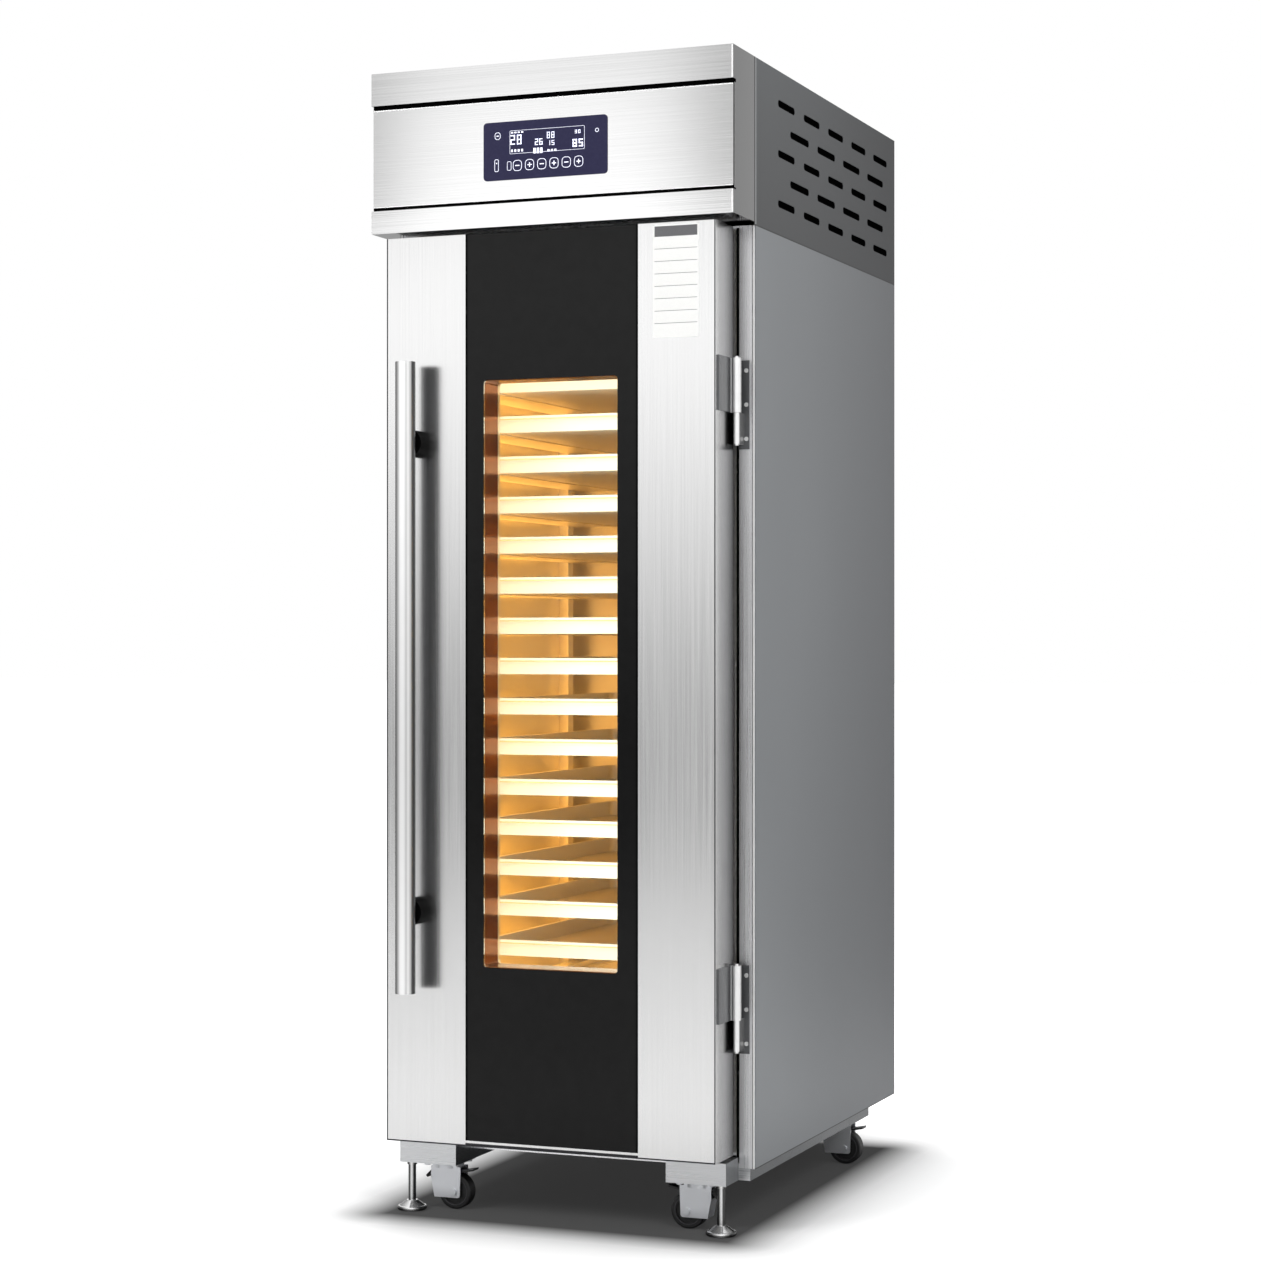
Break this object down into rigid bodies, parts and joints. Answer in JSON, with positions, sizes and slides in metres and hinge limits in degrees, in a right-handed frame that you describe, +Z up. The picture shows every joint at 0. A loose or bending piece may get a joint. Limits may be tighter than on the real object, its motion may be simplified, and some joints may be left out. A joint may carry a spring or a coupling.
{
  "type": "proofing cabinet",
  "caption": "Upright stainless proofing cabinet with a glazed door, tray racks, a machine header, a touch display and braked casters.",
  "frame": {"origin": "on the floor, under the middle of the overall box from the door handle to the back", "axes": "+Z up, +Y from the door towards the back, +X towards the door's hinges"},
  "size_m": [0.69, 1.0359, 2.05],
  "materials": {
    "front_stainless": "fine vertical brushing, bright satin",
    "side_sheet": "smooth satin grey sheet",
    "cover_sheet": "satin dark grey",
    "liner_steel": "satin",
    "rack_steel": "satin",
    "foam": "rigid polyurethane foam",
    "gasket_rubber": "matte",
    "glass": "clear with a black printed border on the outer pane",
    "handle_steel": "polished",
    "black_plastic": "matte",
    "hinge_chrome": "polished",
    "display_navy": "gloss navy with white figures",
    "rail_steel": "satin",
    "zinc": "bright zinc plate",
    "foot_chrome": "polished",
    "wheel_nylon": "satin black",
    "coil_aluminium": "plain",
    "machine_black": "gloss black",
    "fan_plastic": "matte",
    "lamp_lens": "frosted, lit warm",
    "tray_aluminium": "satin"
  },
  "bodies": {
    "cabinet": {"header_fascia": "front_stainless", "front_frame": "front_stainless", "side_panel_left": "side_sheet", "side_panel_right": "side_sheet", "rear_wrapper": "side_sheet", "machine_cover_left": "cover_sheet", "machine_cover_right": "cover_sheet", "machine_top_cover": "cover_sheet", "inner_liner": "liner_steel", "air_duct_panel": "liner_steel", "rack_left": "rack_steel", "rack_right": "rack_steel", "insulation": "foam", "frame_hinge_leaves": "hinge_chrome", "control_panel": "display_navy", "base_rails": "rail_steel", "caster_plates": "zinc", "evaporator_unit": "coil_aluminium", "condensing_unit": "machine_black", "chamber_lamp": "lamp_lens"},
    "door": {"door_skin": "front_stainless", "door_liner": "liner_steel", "door_foam": "foam", "door_gasket": "gasket_rubber", "outer_glass": "glass", "inner_glass": "glass", "handle_tube": "handle_steel", "handle_posts": "black_plastic", "door_hinge_leaves": "hinge_chrome"},
    "tray_01": {"tray_01": "tray_aluminium"},
    "tray_02": {"tray_02": "tray_aluminium"},
    "tray_03": {"tray_03": "tray_aluminium"},
    "tray_04": {"tray_04": "tray_aluminium"},
    "tray_05": {"tray_05": "tray_aluminium"},
    "tray_06": {"tray_06": "tray_aluminium"},
    "tray_07": {"tray_07": "tray_aluminium"},
    "tray_08": {"tray_08": "tray_aluminium"},
    "tray_09": {"tray_09": "tray_aluminium"},
    "tray_10": {"tray_10": "tray_aluminium"},
    "tray_11": {"tray_11": "tray_aluminium"},
    "tray_12": {"tray_12": "tray_aluminium"},
    "tray_13": {"tray_13": "tray_aluminium"},
    "tray_14": {"tray_14": "tray_aluminium"},
    "tray_15": {"tray_15": "tray_aluminium"},
    "fork_front_left": {"caster_fork_front_left": "zinc"},
    "wheel_front_left": {"caster_wheel_front_left": "wheel_nylon"},
    "pedal_front_left": {"brake_pedal_front_left": "black_plastic"},
    "fork_front_right": {"caster_fork_front_right": "zinc"},
    "wheel_front_right": {"caster_wheel_front_right": "wheel_nylon"},
    "pedal_front_right": {"brake_pedal_front_right": "black_plastic"},
    "fork_rear_left": {"caster_fork_rear_left": "zinc"},
    "wheel_rear_left": {"caster_wheel_rear_left": "wheel_nylon"},
    "pedal_rear_left": {"brake_pedal_rear_left": "black_plastic"},
    "fork_rear_right": {"caster_fork_rear_right": "zinc"},
    "wheel_rear_right": {"caster_wheel_rear_right": "wheel_nylon"},
    "pedal_rear_right": {"brake_pedal_rear_right": "black_plastic"},
    "foot_left": {"levelling_foot_left": "foot_chrome"},
    "foot_right": {"levelling_foot_right": "foot_chrome"},
    "circulation_fan": {"circulation_fan": "fan_plastic"},
    "condenser_fan": {"condenser_fan": "fan_plastic"}
  },
  "joints": [
    {"name": "door_hinge", "type": "hinge", "parent": "cabinet", "child": "door", "pos_m": [0.32, -0.374, 0.9], "axis": [0, 0, 1], "range_deg": [0, 130]},
    {"name": "tray_01_slide", "type": "slide", "parent": "cabinet", "child": "tray_01", "axis": [0, -1, 0], "range_m": [0, 0.06]},
    {"name": "tray_02_slide", "type": "slide", "parent": "cabinet", "child": "tray_02", "axis": [0, -1, 0], "range_m": [0, 0.06]},
    {"name": "tray_03_slide", "type": "slide", "parent": "cabinet", "child": "tray_03", "axis": [0, -1, 0], "range_m": [0, 0.06]},
    {"name": "tray_04_slide", "type": "slide", "parent": "cabinet", "child": "tray_04", "axis": [0, -1, 0], "range_m": [0, 0.06]},
    {"name": "tray_05_slide", "type": "slide", "parent": "cabinet", "child": "tray_05", "axis": [0, -1, 0], "range_m": [0, 0.06]},
    {"name": "tray_06_slide", "type": "slide", "parent": "cabinet", "child": "tray_06", "axis": [0, -1, 0], "range_m": [0, 0.06]},
    {"name": "tray_07_slide", "type": "slide", "parent": "cabinet", "child": "tray_07", "axis": [0, -1, 0], "range_m": [0, 0.06]},
    {"name": "tray_08_slide", "type": "slide", "parent": "cabinet", "child": "tray_08", "axis": [0, -1, 0], "range_m": [0, 0.06]},
    {"name": "tray_09_slide", "type": "slide", "parent": "cabinet", "child": "tray_09", "axis": [0, -1, 0], "range_m": [0, 0.06]},
    {"name": "tray_10_slide", "type": "slide", "parent": "cabinet", "child": "tray_10", "axis": [0, -1, 0], "range_m": [0, 0.06]},
    {"name": "tray_11_slide", "type": "slide", "parent": "cabinet", "child": "tray_11", "axis": [0, -1, 0], "range_m": [0, 0.06]},
    {"name": "tray_12_slide", "type": "slide", "parent": "cabinet", "child": "tray_12", "axis": [0, -1, 0], "range_m": [0, 0.06]},
    {"name": "tray_13_slide", "type": "slide", "parent": "cabinet", "child": "tray_13", "axis": [0, -1, 0], "range_m": [0, 0.06]},
    {"name": "tray_14_slide", "type": "slide", "parent": "cabinet", "child": "tray_14", "axis": [0, -1, 0], "range_m": [0, 0.06]},
    {"name": "tray_15_slide", "type": "slide", "parent": "cabinet", "child": "tray_15", "axis": [0, -1, 0], "range_m": [0, 0.06]},
    {"name": "swivel_front_left", "type": "hinge", "parent": "cabinet", "child": "fork_front_left", "pos_m": [-0.244, -0.352, 0.077], "axis": [0, 0, 1], "continuous": true},
    {"name": "wheel_spin_front_left", "type": "hinge", "parent": "fork_front_left", "child": "wheel_front_left", "pos_m": [-0.226, -0.352, 0.032], "axis": [0, 1, 0], "continuous": true},
    {"name": "brake_front_left", "type": "hinge", "parent": "fork_front_left", "child": "pedal_front_left", "pos_m": [-0.259, -0.352, 0.0694], "axis": [0, 1, 0], "range_deg": [0, 4.5]},
    {"name": "swivel_front_right", "type": "hinge", "parent": "cabinet", "child": "fork_front_right", "pos_m": [0.244, -0.352, 0.077], "axis": [0, 0, 1], "continuous": true},
    {"name": "wheel_spin_front_right", "type": "hinge", "parent": "fork_front_right", "child": "wheel_front_right", "pos_m": [0.226, -0.352, 0.032], "axis": [0, 1, 0], "continuous": true},
    {"name": "brake_front_right", "type": "hinge", "parent": "fork_front_right", "child": "pedal_front_right", "pos_m": [0.259, -0.352, 0.0694], "axis": [0, -1, 0], "range_deg": [0, 4.5]},
    {"name": "swivel_rear_left", "type": "hinge", "parent": "cabinet", "child": "fork_rear_left", "pos_m": [-0.286, 0.321, 0.077], "axis": [0, 0, 1], "continuous": true},
    {"name": "wheel_spin_rear_left", "type": "hinge", "parent": "fork_rear_left", "child": "wheel_rear_left", "pos_m": [-0.304, 0.321, 0.032], "axis": [0, 1, 0], "continuous": true},
    {"name": "brake_rear_left", "type": "hinge", "parent": "fork_rear_left", "child": "pedal_rear_left", "pos_m": [-0.271, 0.321, 0.0694], "axis": [0, -1, 0], "range_deg": [0, 4.5]},
    {"name": "swivel_rear_right", "type": "hinge", "parent": "cabinet", "child": "fork_rear_right", "pos_m": [0.286, 0.321, 0.077], "axis": [0, 0, 1], "continuous": true},
    {"name": "wheel_spin_rear_right", "type": "hinge", "parent": "fork_rear_right", "child": "wheel_rear_right", "pos_m": [0.304, 0.321, 0.032], "axis": [0, 1, 0], "continuous": true},
    {"name": "brake_rear_right", "type": "hinge", "parent": "fork_rear_right", "child": "pedal_rear_right", "pos_m": [0.271, 0.321, 0.0694], "axis": [0, 1, 0], "range_deg": [0, 4.5]},
    {"name": "foot_screw_left", "type": "slide", "parent": "cabinet", "child": "foot_left", "axis": [0, 0, -1], "range_m": [0, 0.012]},
    {"name": "foot_screw_right", "type": "slide", "parent": "cabinet", "child": "foot_right", "axis": [0, 0, -1], "range_m": [0, 0.012]},
    {"name": "circulation_fan_spin", "type": "hinge", "parent": "cabinet", "child": "circulation_fan", "pos_m": [0, 0.349, 1.567], "axis": [0, 1, 0], "continuous": true},
    {"name": "condenser_fan_spin", "type": "hinge", "parent": "cabinet", "child": "condenser_fan", "pos_m": [0, -0.013, 1.87], "axis": [0, 1, 0], "continuous": true}
  ]
}
